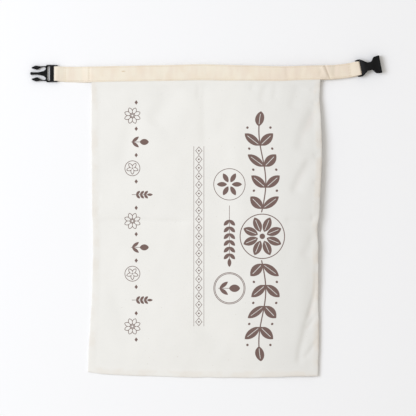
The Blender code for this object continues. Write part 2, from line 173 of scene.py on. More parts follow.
# Along the heading tape: place, middle line, width.
BAND = MM * np.array([
    (-197.4, 193.1, 19), (-180, 192.3, 19.4), (-152.6, 192, 20.3), (-113.3, 192.8, 20.3),
    (-74, 193.4, 20.4), (-34.7, 194.2, 20.6), (-8.5, 194.8, 20.8), (17.7, 194.3, 20.6),
    (57, 193.7, 19.7), (96.3, 192.9, 19.1), (122.5, 193.7, 18.6), (142.1, 194.2, 18.6),
    (161.8, 194.8, 18.2), (181.4, 196.7, 18.2), (199.5, 199.9, 18.2),
])
# Each fold: the height of a ridge, or the depth of a trough as less than 0, its half widths on the
# left and right of its line, how soft its bottom is, from 1 for a pressed crease to 2 for a round
# one, and the line that it follows from its top or its right end.
Fold = namedtuple("Fold", "high left right soft line")
FOLDS = (
    Fold(-1.8, 3.4, 5, 1.2, ((-10, -1), (-90, 0.5), (-151, 0))),
    Fold(-1.3, 3.6, 4.8, 1.2, ((146, -1), (100, 2))),
    Fold(-0.9, 7, 9, 1.4, ((-4, 196), (-3.8, 140), (-2, 90))),
    Fold(-0.4, 2, 2.6, 1.6, ((-10.8, 190), (-11.2, 156))),
    Fold(-1.6, 12, 15, 2, ((-46, 180), (-52, 156), (-74, 125))),
    Fold(-0.8, 4, 7, 2, ((80.6, 184.4), (75.3, 170.3), (70.1, 152.9))),
    Fold(-0.7, 3.6, 6, 2, ((89.7, 185.7), (90.5, 172), (88, 156.8))),
    Fold(-0.6, 3.6, 4, 2, ((62, 186), (59, 169))),
    Fold(-1, 6, 10, 2, ((122.2, 180), (117.2, 165.1), (111, 144))),
    Fold(-1.9, 7.5, 15, 2, ((147, 153), (133.5, 129.7), (126.2, 112.7), (121.5, 86))),
    Fold(-1.8, 5.2, 10, 2, ((137.5, 83), (122.5, 58), (112, 33))),
    Fold(-1, 6, 8, 2, ((144, -14), (126, -50))),
    Fold(0.4, 10, 6, 2, ((133, -60), (124, -115), (110, -175))),
    Fold(-2.3, 2.6, 6.5, 1.6, ((146.6, -42), (142.8, -90.4), (137.3, -111), (130, -134), (129, -140))),
    Fold(-1.6, 3.8, 7, 1.8, ((131.2, -127), (127.5, -149.3), (122.2, -169), (120, -192))),
    Fold(-1, 2.2, 4, 1.6, ((147.1, -118), (138, -131), (129, -143))),
    Fold(-1.1, 2.6, 4.5, 1.6, ((145, -156), (136, -169), (127, -181))),
    Fold(-0.5, 3, 3, 2, ((-138, 30), (-149, 33))),
    Fold(-0.5, 2.8, 2.8, 2, ((-139, 12), (-149, 16))),
    Fold(-0.6, 3, 3.4, 2, ((148, 176), (136, 170))),
    Fold(-0.8, 2.8, 4, 2, ((148, 160), (138, 153))),
    Fold(-0.8, 2.8, 4, 2, ((149, 90), (140, 84))),
    Fold(-0.8, 2.8, 4, 2, ((148, 53), (139, 50))),
    Fold(-0.9, 3, 4.2, 2, ((146, 7), (136, 4))),
    Fold(-0.8, 10, 13, 2, ((-88, 175), (-98, 130), (-115, 60))),
    Fold(0.6, 12, 12, 2, ((30, 150), (45, 30), (25, -90))),
    Fold(-0.7, 12, 15, 2, ((70, 100), (62, 20), (70, -60))),
    Fold(-0.6, 12, 16, 2, ((25, -175), (-30, -110))),
    Fold(-0.5, 9, 12, 2, ((-130, -60), (-105, -150))),
)


def ramp(share):
    """A soft step from 0 to 1 as share goes from 0 to 1."""
    share = np.clip(share, 0.0, 1.0)
    return share * share * (3 - 2 * share)


def along(rows, column, place):
    """A column's values on a soft curve through the rows, whose first column holds their places."""
    places, values = rows[:, 0], rows[:, column]
    slopes = np.diff(values) / np.diff(places)
    same_way = slopes[1:] * slopes[:-1] > 0
    both = np.where(same_way, slopes[1:] + slopes[:-1], 1.0)
    inner = np.where(same_way, 2 * slopes[1:] * slopes[:-1] / both, 0.0)
    slopes_at = np.concatenate([slopes[:1], inner, slopes[-1:]])
    place = np.clip(place, places[0], places[-1])
    i = np.clip(np.searchsorted(places, place, side="right") - 1, 0, len(slopes) - 1)
    span = places[i + 1] - places[i]
    t = (place - places[i]) / span
    bend = span * t * (1 - t) * (slopes_at[i] * (1 - t) - slopes_at[i + 1] * t)
    return values[i] + (values[i + 1] - values[i]) * ramp(t) + bend


def waves(x, y, length, seed):
    """An uneven height of about -1 to 1, of shallow waves of about this length that run every way."""
    dice = np.random.default_rng(seed)
    total = 0.0
    for _ in range(14):
        way, start = dice.uniform(0, 2 * math.pi, 2)
        run = x * math.cos(way) + y * math.sin(way)
        total = total + np.sin(2 * math.pi * run / (length * dice.uniform(0.7, 1.6)) + start)
    return total / 5


def fold_height(fold, x, y):
    """A fold's height at a place. It fades out over the first and the last fifth of its line."""
    line = MM * np.array(fold.line)
    lengths = np.linalg.norm(np.diff(line, axis=0), axis=1)
    nearest = np.full(np.shape(x), np.inf)
    reached = np.zeros(np.shape(x))
    wide = np.ones(np.shape(x))
    done = 0.0
    for start, end, length in zip(line, line[1:], lengths):
        way = (end - start) / length
        run = np.clip((x - start[0]) * way[0] + (y - start[1]) * way[1], 0, length)
        off_x, off_y = x - start[0] - run * way[0], y - start[1] - run * way[1]
        off = np.hypot(off_x, off_y)
        closer = off < nearest
        reached = np.where(closer, done + run, reached)
        on_right = way[0] * off_y - way[1] * off_x > 0
        wide = np.where(closer, np.where(on_right, fold.right, fold.left), wide)
        nearest = np.minimum(off, nearest)
        done += length
    ends = ramp(reached / done * 5) * ramp((1 - reached / done) * 5)
    return MM * fold.high * np.exp(-((nearest / (MM * wide)) ** fold.soft)) * ends


def in_from_rim(x, y):
    """Distances of a place from the left, right and bottom seams, and below the tape's lower edge."""
    tape_low = along(BAND, 1, x) - along(BAND, 2, x) / 2
    return x - along(SEAMS, 1, y), along(SEAMS, 2, y) - x, y - along(BOTTOM, 1, x), tape_low - y


def curl(x, y):
    """How far the bag stands off the table at its right side."""
    return along(SEAMS, 3, y) * ramp((x - along(SEAMS, 2, y) + CURL_REACH) / CURL_REACH)


def rolled(seam_distance):
    """How far a panel has turned in towards the other, at this distance from a seam."""
    out = np.clip(1 - seam_distance / RIM, 0, 1)
    return RIM_DROP * (1 - np.sqrt(1 - out**2))


def back_height(x, y):
    """The underside of the back panel."""
    below_tape = in_from_rim(x, y)[3]
    return curl(x, y) + BAND_LIFT * ramp(1 - below_tape / BAND_SLOPE)


def front_height(x, y):
    """The face of the front panel, without the roll of its edges, and how far it sinks in its folds."""
    left, right, bottom, below_tape = in_from_rim(x, y)
    seam_distance = np.minimum(np.minimum(left, right), bottom)
    inside = np.clip(np.minimum(seam_distance, below_tape) / SEAM, 0, 1)
    full = FULLNESS * np.sin(np.clip(right / FULL_EDGE, 0, 1) * math.pi / 2)
    for distance, reach in zip((left, bottom, below_tape), FULLNESS_REACH):
        full = full * ramp(distance / reach)
    shape = sum(fold_height(fold, x, y) for fold in FOLDS)
    shape = shape + WAVES * (waves(x, y, *LONG_WAVES) + 0.5 * waves(x, y, *SHORT_WAVES))
    room = full + shape * inside + CLOSEST
    tight = LEAST_ROOM * np.exp(np.minimum(room / LEAST_ROOM - 1, 0))
    room = np.where(room < LEAST_ROOM, tight, room)
    ridge = SEAM_RIDGE * ramp((SEAM + RIDGE_PAST - seam_distance) / RIDGE_SLOPE)
    ridge = ridge * ramp(below_tape / BAND_SLOPE)
    return back_height(x, y) + STACK + ridge + room - CLOSEST, np.maximum(-shape * inside, 0)


def spread(length, step):
    """Shares of a length, closer together within the rolled edge at each end."""
    rim = RIM * np.array([0.0, 0.1, 0.25, 0.45, 0.7])
    middle = np.arange(RIM, length - RIM, step)
    return np.concatenate([rim, middle, (length - rim)[::-1]]) / length


def panel_places(step):
    """A grid of places over the bag, in rows from the mouth to the bottom, with drawn-in seams.

    Each place's distance from the nearest seam comes with it.
    """
    width, length = PANEL
    across, down = np.meshgrid(spread(width, step), spread(length, step))
    y = SEAMS[-1, 0] + down * (SEAMS[0, 0] - SEAMS[-1, 0])
    left, right = along(SEAMS, 1, y), along(SEAMS, 2, y)
    x = left + across * (right - left)
    mouth = along(BAND, 1, x) + along(BAND, 2, x) / 2 - MOUTH_INSET
    deep = mouth - along(BOTTOM, 1, x)
    y = mouth - down * deep
    seam_distance = np.minimum(np.minimum(across, 1 - across) * (right - left), (1 - down) * deep)
    side = np.exp(-across * width / SEAM) - np.exp(-(1 - across) * width / SEAM)
    x = x + PUCKER * side * waves(y, 0 * y, *SIDE_PUCKERS)
    y = y + PUCKER * np.exp(-(1 - down) * length / SEAM) * waves(x, 0 * x, *BOTTOM_PUCKERS)
    return x, y, seam_distance


def cloth_sheet(name, upper, lower, joined=False, weave_map=None):
    """A closed sheet between two grids of points. In a joined one the last row meets the first.

    weave_map gives the places of the grid's points on the flat cloth, with the first row again at
    the end if the sheet is joined.
    """
    rows, columns = upper.shape[:2]
    count = rows * columns
    grid = np.arange((rows + joined) * columns).reshape(-1, columns)
    corners = [grid[:-1, :-1], grid[:-1, 1:], grid[1:, 1:], grid[1:, :-1]]
    top = np.stack(corners, axis=-1).reshape(-1, 4)
    rims = [grid[:, 0], grid[:, -1]] + ([] if joined else [grid[0], grid[-1]])
    edges = np.concatenate([np.stack([rim[:-1], rim[1:]], axis=-1) for rim in rims])
    faces = np.concatenate([top, top[:, ::-1], np.hstack([edges, edges[:, ::-1]])])
    below = np.zeros(faces.shape, bool)
    below[len(top) : 2 * len(top)] = True
    below[2 * len(top) :, 2:] = True
    mesh = bpy.data.meshes.new(name)
    points = np.concatenate([upper.reshape(-1, 3), lower.reshape(-1, 3)])
    mesh.from_pydata(points.tolist(), [], (faces % count + count * below).tolist())
    if weave_map is not None:
        layer = mesh.uv_layers.new(name="weave")
        layer.data.foreach_set("uv", weave_map.reshape(-1, 2)[faces.ravel()].ravel())
    bm = bmesh.new()
    bm.from_mesh(mesh)
    bmesh.ops.recalc_face_normals(bm, faces=bm.faces)
    bm.to_mesh(mesh)
    bm.free()
    mesh.shade_smooth()
    mesh.set_sharp_from_angle(angle=math.radians(50))
    return placed(name, mesh)


def keep_with_points(sheet, name, values):
    """Keeps a number with each point of both sides of a sheet, for its material to read."""
    layer = sheet.data.attributes.new(name, "FLOAT", "POINT")
    layer.data.foreach_set("value", np.tile(np.ravel(values), 2))


def panel(name, step, is_front):
    """One panel. Its points keep their distance from the nearest seam and their depth in a fold."""
    x, y, seam_distance = panel_places(step)
    if is_front:
        face, sunk = front_height(x, y)
        face = face - rolled(seam_distance)
        other = face - CLOTH
    else:
        sunk = 0 * x
        face = back_height(x, y) + rolled(seam_distance)
        other = face + CLOTH
    sheet = cloth_sheet(name, np.dstack([x, y, face]), np.dstack([x, y, other]))
    keep_with_points(sheet, "from_seam", seam_distance)
    keep_with_points(sheet, "sunk", sunk)
    return sheet


front = panel("front_cloth", step=0.0018, is_front=True)
back = panel("back_cloth", step=0.0030, is_front=False)


class Field:
    """What a node puts out, such as a number, a colour or a mesh. Sums with it become Math nodes."""

    def __init__(self, tree, socket):
        self.tree = tree
        self.socket = socket

    def use(self, operation, *others):
        entries = dict(enumerate((self, *others)))
        return new_node(self.tree, "ShaderNodeMath", entries, operation=operation)

    def __rsub__(self, other):
        return self * -1.0 + other

    def step(self, start, end):
        """0 at start and before, 1 at end and after, and soft in between."""
        entries = {"Value": self, "From Min": start, "From Max": end}
        return new_node(self.tree, "ShaderNodeMapRange", entries, interpolation_type="SMOOTHSTEP")

    __add__ = __radd__ = partialmethod(use, "ADD")
    __sub__ = partialmethod(use, "SUBTRACT")
    __mul__ = __rmul__ = partialmethod(use, "MULTIPLY")
    __truediv__ = partialmethod(use, "DIVIDE")
    __abs__ = partialmethod(use, "ABSOLUTE")
    power = partialmethod(use, "POWER")
    root = partialmethod(use, "SQRT")
    sine = partialmethod(use, "SINE")
    cosine = partialmethod(use, "COSINE")
    whole = partialmethod(use, "FLOOR")
    least = partialmethod(use, "MINIMUM")
    most = partialmethod(use, "MAXIMUM")


def feed(entry, value):
    """Links a field to a node's input, or sets the input to a plain value or colour."""
    if isinstance(value, Field):
        value.tree.links.new(value.socket, entry)
    else:
        entry.default_value = (*value, 1.0) if entry.type == "RGBA" else value


def new_node(tree, kind, entries, output=0, **settings):
    """One output of a new node, as a field. entries holds values and fields for its inputs."""
    node = tree.nodes.new(kind)
    for name, value in settings.items():
        setattr(node, name, value)
    for entry, value in entries.items():
        feed(node.inputs[entry], value)
    return Field(tree, node.outputs[output])


def all_outputs(field):
    """All outputs of the node that a field comes from, by name."""
    return {socket.name: Field(field.tree, socket) for socket in field.socket.node.outputs}


def split(vector):
    """The three fields of a vector."""
    return all_outputs(new_node(vector.tree, "ShaderNodeSeparateXYZ", {0: vector})).values()


def joined_vector(x, y, z=0.0):
    return new_node(x.tree, "ShaderNodeCombineXYZ", {0: x, 1: y, 2: z})


def noise(place, scale, detail=2.0):
    """A cloudy field between 0 and 1."""
    entries = {"Vector": place, "Scale": scale, "Detail": detail}
    return new_node(place.tree, "ShaderNodeTexNoise", entries, "Fac")


def point_number(tree, name):
    """The field of a number that is kept with each point of the mesh."""
    return new_node(tree, "ShaderNodeAttribute", {}, "Fac", attribute_name=name)


def blended(colour, *coats):
    """A colour under thin coats of others, each a share and a colour."""
    for share, coat in coats:
        entries = {0: share, 6: colour, 7: coat}
        colour = new_node(share.tree, "ShaderNodeMix", entries, 2, data_type="RGBA")
    return colour


def new_group(name, numbers, results):
    """A shader node group that takes a place and numbers by these names.

    results is a function that makes its outputs, by name, from its inputs as fields.
    """
    group = bpy.data.node_groups.new(name, "ShaderNodeTree")
    start, end = group.nodes.new("NodeGroupInput"), group.nodes.new("NodeGroupOutput")
    group.interface.new_socket("Place", in_out="INPUT", socket_type="NodeSocketVector")
    for words in numbers:
        group.interface.new_socket(words, in_out="INPUT", socket_type="NodeSocketFloat")
    fields = [Field(group, socket) for socket in start.outputs[:-1]]
    for words, field in results(*fields).items():
        group.interface.new_socket(words, in_out="OUTPUT", socket_type="NodeSocketFloat")
        feed(end.inputs[words], field)
    return group


def use_group(group, place, *numbers):
    """A group's results at a place, by name. numbers feed its other inputs in turn."""
    entries = dict(enumerate((place, *numbers)))
    return all_outputs(new_node(place.tree, "ShaderNodeGroup", entries, node_tree=group))


def new_material(name):
    """A material, and the place on the piece as a field in its tree."""
    made = bpy.data.materials.new(name)
    made.use_nodes = True
    return made, new_node(made.node_tree, "ShaderNodeTexCoord", {}, "Object")


def dress(made, colour, roughness, relief, strength, depth, specular, sheen=(0.0, 0.5)):
    """Feeds a material's shader. relief is its fine height, and strength and depth say how deep it is.

    sheen is the strength and the roughness of the light that its fibres scatter.
    """
    bump = {"Height": relief, "Strength": strength, "Distance": depth}
    settings = {
        "Base Color": colour,
        "Roughness": roughness,
        "Normal": new_node(made.node_tree, "ShaderNodeBump", bump),
        "Specular IOR Level": specular,
        "Sheen Weight": sheen[0],
        "Sheen Roughness": sheen[1],
    }
    for name, value in settings.items():
        feed(made.node_tree.nodes["Principled BSDF"].inputs[name], value)
    return made


def weave_of_threads(place, warp_pitch, weft_pitch):
    """Threads that pass over and under each other, each a little thick or thin along its length."""
    x, y, _ = split(place)
    warp_slub = noise(joined_vector(x * 1900.0, y * 45.0), 1.0)
    weft_slub = noise(joined_vector(x * 45.0, y * 1900.0, 7.0), 1.0)
    warp = (x / warp_pitch + weft_slub * 0.5) * math.pi
    weft = (y / weft_pitch + warp_slub * 0.5) * math.pi
    over = (warp.sine() * weft.sine()).step(-0.2, 0.2)
    along_warp, along_weft = abs(warp.sine()), abs(weft.sine())
    warp_top = along_warp.power(0.7) * along_weft.power(0.3)
    weft_top = along_weft.power(0.7) * along_warp.power(0.3)
    height = weft_top + (warp_top - weft_top) * over
    return {"Height": height, "Slub": (warp_slub + weft_slub) * 0.5}


PLAIN_WEAVE = new_group("plain_weave", ("Warp pitch", "Weft pitch"), weave_of_threads)
THREAD_PITCH = (0.00042, 0.00047)  # of the warp and the weft
WHITE_COTTON = (0.848, 0.836, 0.793)
GREY_COTTON = (0.792, 0.785, 0.747)
# Painted shade: the cotton is darker towards the right, where the bag stands off the table.
LIFTED_COTTON_SHADE = (0.773, 0.765, 0.731)  # where no light comes back through it from the table
# Painted shade, rosy, deep in the folds at the bag's right side.
ROSY_FOLD_SHADE = (0.775, 0.715, 0.675)  # deep in folds, between cloth and cloth
WARM_COTTON = (0.790, 0.737, 0.662)  # where an allowance shows through
SHADED_COTTON = (0.600, 0.540, 0.475)  # along the turned edges of the seams
# Painted shade between the threads, where the weave lies low.
THREAD_GAP_SHADE = (0.56, 0.54, 0.48)
FLECK = (0.50, 0.43, 0.33)  # specks of seed husk in the yarn


def cotton(name, print_group=None):
    """Waxed plain-weave cotton, with a print on it if a print group is given."""
    made, place = new_material(name)
    weave = use_group(PLAIN_WEAVE, place, *THREAD_PITCH)
    uneven = (noise(place, 150.0, 3.0) - 0.5) * 0.005
    from_seam = point_number(place.tree, "from_seam") + uneven
    allowance = 1.0 - from_seam.step(SEAM - 0.0030, SEAM + 0.0020)
    x, _, _ = split(place)
    at_right = x.step(0.100, 0.140)
    # The depth in a fold marks where painted shade lies, at the bag's right side only.
    sunk = point_number(place.tree, "sunk").step(0.0015, 0.0026) * x.step(0.060, 0.110)
    patches = noise(place, 42.0, 3.0).step(0.40, 0.62)
    cloud = noise(place, 22.0, 4.0)
    fleck = noise(place, 420.0, 1.0).step(0.76, 0.80)
    strength = patches * 0.44 + 0.08 + at_right * (patches * 0.16 + 0.04)
    edge = 1.0 - from_seam.step(0.0002, 0.0038)
    colour = blended(
        WHITE_COTTON,
        (cloud.step(0.35, 0.75) * 0.35, GREY_COTTON),
        # painted shade, darker towards the right side
        (x.step(0.015, 0.125) * 0.9, LIFTED_COTTON_SHADE),
        # painted shade deep in the folds
        (sunk * 0.60, ROSY_FOLD_SHADE),
        (allowance * strength, WARM_COTTON),
        (edge * (patches * (at_right * 0.38 + 0.06)), SHADED_COTTON),
        (weave["Slub"].step(0.40, 0.75) * 0.10, GREY_COTTON),
        # painted shade between the threads
        ((1.0 - weave["Height"]) * 0.16, THREAD_GAP_SHADE),
        (fleck * 0.35, FLECK),
    )
    roughness = 0.74 + cloud * 0.16
    if print_group:
        ink = use_group(print_group, place)["Ink"]
        worn = (1.0 - weave["Height"]) * 0.10 + cloud * 0.04
        colour = blended(colour, (ink * (1.0 - worn), INK))
        roughness = roughness - ink * 0.12
    relief = weave["Height"] * 0.6 + weave["Slub"] * 0.8 + noise(place, 90.0, 3.0) * 1.5
    return dress(made, colour, roughness, relief, 0.35, 0.00012, 0.30, (0.12, 0.45))


# The print on the front panel
# One brown ink, screen printed and turned a quarter to the right: a large flower between leafy
# branches, two ringed flowers and a twig, a long border of lozenges, and a frieze of small motifs.

INK = (0.132, 0.066, 0.053)
LINE = 0.00042  # half the width of a thin line
FLOWER_SPOT = (0.020, 0.073)  # middle of the large flower: along the reading direction, and up
BRANCH_START = 0.036  # from the flower's middle to the first pair of leaves
BRANCH_PITCH = 0.0275
BRANCH_PAIRS = 4
LEAF = (0.0245, 0.0118)  # length and width of a large leaf
RINGED_FLOWER, TWIG_SPOT, RINGED_TULIP = (-0.048, 0.030), (-0.020, 0.030), (0.088, 0.030)
RING = 0.0205
BORDER_SPOT = (0.020, -0.010)
BORDER_PITCH = 0.0112
BORDER_LAST = 10  # lozenges to each side of the middle one
FRIEZE_SPOT = (0.0, -0.092)
FRIEZE_PITCH = 0.0345
FRIEZE_LAST = 4  # motifs to each side of the middle one


def union(*shapes):
    """Distance from the nearest of some shapes."""
    return reduce(Field.least, shapes)


def moved(u, v, spot, angle=0.0):
    """Fields counted from a spot, on axes turned by an angle."""
    u, v = u - spot[0], v - spot[1]
    if not angle:
        return u, v
    cosine, sine = math.cos(angle), math.sin(angle)
    return u * cosine + v * sine, v * cosine - u * sine


def repeated(u, pitch, last):
    """The number of the nearest of some even steps, from -last to last, and u counted from there."""
    index = (u / pitch + 0.5).whole().most(-float(last)).least(float(last))
    return index, u - index * pitch


def far(u, v):
    return (u * u + v * v).root()


def leaf(u, v, length, width):
    """Distance from a pointed leaf that runs from 0 along u, less than 0 inside it."""
    half, reach = length / 2, width / 2
    radius = (half**2 + reach**2) / (2 * reach)
    return far(u - half, abs(v) + (radius - reach)) - radius


def stroke(u, v, start, end, half=LINE):
    """Distance from a straight line with round ends."""
    middle = (start + end) / 2
    return far((abs(u - middle) - (end - start) / 2).most(0.0), v) - half


def ring(u, v, radius, half=LINE):
    return abs(far(u, v) - radius) - half


def edge_of(distance, half=LINE):
    """The edge alone of a shape."""
    return abs(distance) - half


def veined(u, v, length, width):
    """A leaf with its middle vein left bare."""
    vein = stroke(u, v, 0.14 * length, 0.80 * length, 0.8 * LINE)
    return leaf(u, v, length, width).most(vein * -1.0)


def petals(u, v, count, start, length, width, shape=leaf):
    """Leaves round a middle. start is the bare distance round it."""
    turn = 2 * math.pi / count
    angle = v.use("ARCTAN2", u) + math.pi
    angle = angle - (angle / turn).whole() * turn - turn / 2
    distance = far(u, v)
    return shape(distance * angle.cosine() - start, distance * angle.sine(), length, width)


def pairs(u, v, count, pitch, lean, length, width, shape=leaf):
    """Pairs of leaves along a stem on u. lean is each leaf's angle to the stem."""
    nearest = (u / pitch).whole()
    shapes = []
    for back in (0.0, 1.0, 2.0):
        index = (nearest - back).most(0.0).least(count - 1.0)
        shapes.append(shape(*moved(u - index * pitch, abs(v), (0.0, 0.0), lean), length, width))
    return union(*shapes)


def twig(u, v, count, pitch, length, width):
    """A twig along u from 0: a bare stalk, pairs of leaves, and one at the tip."""
    start = 0.35 * count * pitch
    return union(
        stroke(u, v, 0.0, start + count * pitch, 0.8 * LINE),
        pairs(u - start, v, count, pitch, 0.78, length, width),
        leaf(u - start - (count - 0.3) * pitch, v, 1.1 * length, width),
    )


def tulip(u, v, tall):
    """A bud on a stem from 0 along u, between two leaves."""
    return union(
        leaf(u - 0.46 * tall, v, 0.54 * tall, 0.36 * tall),
        pairs(u, v, 1, 1.0, 0.66, 0.52 * tall, 0.19 * tall),
        stroke(u, v, -0.05 * tall, 0.5 * tall, 0.8 * LINE),
    )


def lozenge(u, v, half_length, half_width):
    slope = half_length * half_width / math.hypot(half_length, half_width)
    return (abs(u) / half_length + abs(v) / half_width - 1.0) * slope


def garland(u, v):
    """The large flower, and a branch with berries to each side of it."""
    u, v = moved(u, v, FLOWER_SPOT)
    run = abs(u) - BRANCH_START
    wave = v - (run * 46.0).sine() * 0.0045
    reach = BRANCH_PITCH * BRANCH_PAIRS
    berry_u = run - BRANCH_PITCH * 0.86
    last = BRANCH_PAIRS - 1.0
    nearest = (berry_u / BRANCH_PITCH + 0.5).whole().most(0.0).least(last)
    return union(
        petals(u, v, 8, 0.0062, 0.0205, 0.0108, veined),
        far(u, v) - 0.0036,
        ring(u, v, 0.0290, 0.0006),
        pairs(run, wave, BRANCH_PAIRS, BRANCH_PITCH, 0.86, *LEAF, veined),
        stroke(run, wave, -0.004, reach, 0.0008),
        veined(run - reach + 0.002, wave, 0.8 * LEAF[0], LEAF[1]),
        far(berry_u - nearest * BRANCH_PITCH, abs(wave) - 0.0150) - 0.0016,
    )


def ringed_flowers(u, v):
    """A ringed flower, a long twig and a ringed tulip."""
    flower, bud = moved(u, v, RINGED_FLOWER), moved(u, v, RINGED_TULIP)
    return union(
        ring(*flower, RING),
        petals(*flower, 6, 0.003, 0.0135, 0.0062),
        twig(*moved(u, v, TWIG_SPOT), 6, 0.0088, 0.0105, 0.0050),
        ring(*bud, RING),
        ring(*bud, RING - 0.0015),
        tulip(*moved(*bud, (0.0, -0.0130), math.pi / 2), 0.0270),
    )


def border(u, v):
    """A chain of lozenges between two lines."""
    u, v = moved(u, v, BORDER_SPOT)
    cell = repeated(u, BORDER_PITCH, BORDER_LAST)[1]
    reach = (BORDER_LAST + 0.5) * BORDER_PITCH
    return union(
        edge_of(lozenge(cell, v, 0.0050, 0.0042), 0.8 * LINE),
        far(cell, v) - 0.0011,
        stroke(u, abs(v) - 0.0066, -reach, reach, 0.6 * LINE),
    )


def frieze(u, v):
    """Small motifs of four kinds in turn, by turns high and low, with a lozenge between each two."""
    u, level = moved(u, v, FRIEZE_SPOT)
    index, u = repeated(u, FRIEZE_PITCH, FRIEZE_LAST)
    odd = abs(index / 2.0 - (index / 2.0 + 0.25).whole()) * 2.0
    v = level - (odd - 0.5) * 0.010
    rising = moved(v, u * -1.0, (-0.0105, 0.0))
    kinds = (
        edge_of(petals(u, v, 8, 0.0026, 0.0082, 0.0050)).least(ring(u, v, 0.0018)),
        tulip(*rising, 0.0220),
        ring(u, v, 0.0098).least(edge_of(petals(u, v, 5, 0.0, 0.0078, 0.0040))),
        twig(*rising, 3, 0.0052, 0.0070, 0.0034),
    )
    kind = index + 8.0
    kind = kind - (kind / 4.0).whole() * 4.0
    shapes = [one + (abs(kind - i) - 0.5).most(0.0) * 0.1 for i, one in enumerate(kinds)]
    return union(*shapes, lozenge(abs(u) - FRIEZE_PITCH / 2, level, 0.0030, 0.0022))


def bag_print(place):
    x, y, _ = split(place)
    u, v = y * -1.0, x
    distance = union(garland(u, v), ringed_flowers(u, v), border(u, v), frieze(u, v))
    bleed = noise(place, 1500.0) - 0.5
    return {"Ink": 1.0 - (distance + bleed * 0.00035).step(-0.00016, 0.00016)}


PRINT = new_group("bag_print", (), bag_print)
front.data.materials.append(cotton("printed_cotton", PRINT))
back.data.materials.append(cotton("plain_cotton"))
for sheet, node, under in ((back, "back_panel", []), (front, "front_panel", [back])):
    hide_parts(node)
    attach(sheet, "root")


# The heading tape
# A cotton twill tape in natural cream. It passes round the bar of one buckle half, along the back of
# the bag, round the other bar and back, so each panel's mouth is sewn under its own run of the tape.

TAPE_WIDTH = 0.020
TAPE = 0.0010
TAPE_EDGE = 0.0009  # how far in the woven edge is rounded
EDGE_SHARE = 0.40  # what is left of its thickness at the edge
ROW_INSET = 0.0016  # from the tape's edge to its row of stitches
ROW_GROOVE = 0.00010  # how deep the stitches pull in
ROW_WIDTH = 0.0006
OVER_BAG = 0.0037  # the front run above the back run where the panels lie between them
BAR_GAP = 0.0003
PRONG_BAR = (0.0010, 0.0023)  # radius, and height above the table
SOCKET_BAR = (0.0013, 0.0040)
SOCKET_TURN = math.radians(11)  # the tape turns up at this end
TURN_STEPS = 12
RUN_STEPS = (0.0008, 0.0014, 0.0005)  # spacing of points: left of the bag, along it, and right of it
# Places across half of the tape, closer together at its stitches and its edge.
HALF_SHARES = (
    0.0, 0.06, 0.13, 0.20, 0.27, 0.32, 0.36, 0.39, 0.405,
    0.42, 0.435, 0.45, 0.464, 0.476, 0.486, 0.494, 0.4985, 0.5,
)
BAG_SIDE = 0.1470  # from the middle to where the panels between the runs end
BAG_SIDE_SLOPE = 0.010
BACK_RUN_LOW = 0.0008  # how far the back run shows below the front run past there
RIPPLES = 0.00010  # height of the small ripples that the sewing leaves in the tape
RIPPLE_WAVES = (0.0085, 12)  # their length, and the seed of their places

# Undersides of the two runs past the bag's sides: place, back run, front run.
LEFT_TAIL = MM * np.array([
    (-197.4, 0, 3.6), (-194.5, 0, 3.4), (-186.5, 0, 1.6), (-164, 0, 1.3),
    (-152, 0, OVER_BAG / MM),
])
RIGHT_TAIL = MM * np.array([
    (149.5, 3.5, 3.5 + OVER_BAG / MM), (159, 3.3, 6.1), (166, 3.3, 5.2), (174, 3.2, 4.7),
    (185, 3, 4.6), (193, 2.1, 5.1), (197.5, 1.4, 5.5), (199.5, 1.4, 5.6),
])
TAPE_FOLDS = (
    Fold(-1.1, 0.8, 1.6, 1.4, ((153.2, 207.8), (162.6, 183.8))),
    Fold(0.8, 2, 2.4, 2, ((150.2, 205), (157.6, 188))),
    Fold(-0.6, 2.2, 2.2, 2, ((147, 204), (150, 196), (148.5, 188))),
    Fold(-0.7, 3, 3.6, 2, ((169, 206), (167, 188))),
    Fold(-0.4, 2.4, 3, 2, ((126, 203), (123, 186))),
    Fold(-0.4, 2, 3, 2, ((104, 203), (106, 186))),
    Fold(0.2, 1.2, 1.2, 2, ((-109.4, 196.8), (-106.6, 195.6))),  # a thick place in the yarn
    Fold(-0.6, 1, 1.8, 1.5, ((-153.5, 202.5), (-153.2, 181.5))),
    Fold(-0.4, 2, 2, 2, ((-192.5, 202), (-193, 184))),
)
# Where the two runs are sewn together across the tape.
CROSS_ROWS = (-0.1865, -0.1845, -0.1548, -0.1532, 0.1880, 0.1862)


def tape_undersides(x):
    """Heights of the undersides of the back run and of the front run."""
    back = curl(x, along(BAND, 1, x))
    front = back + OVER_BAG
    for tail, beyond in ((LEFT_TAIL, x < LEFT_TAIL[-1, 0]), (RIGHT_TAIL, x > RIGHT_TAIL[0, 0])):
        back = np.where(beyond, along(tail, 1, x), back)
        front = np.where(beyond, along(tail, 2, x), front)
    return back, front


def tape_point(x, share, offset=0.0, to_back=0.0):
    """A place on the tape seen from above.

    share is across the tape, offset further along its run, and to_back is 0 on the front run, 1 on
    the back run and in between on the turns.
    """
    turned = ramp((x - RIGHT_TAIL[0, 0]) / (RIGHT_TAIL[-1, 0] - RIGHT_TAIL[0, 0])) * SOCKET_TURN
    past_bag = ramp((np.abs(x) - BAG_SIDE) / BAG_SIDE_SLOPE)
    aside = share * along(BAND, 2, x) - to_back * past_bag * BACK_RUN_LOW
    place_x = x + np.cos(turned) * offset - np.sin(turned) * aside
    return place_x, along(BAND, 1, x) + np.sin(turned) * offset + np.cos(turned) * aside


def from_edge(x, share):
    return (0.5 - np.abs(share)) * along(BAND, 2, x)


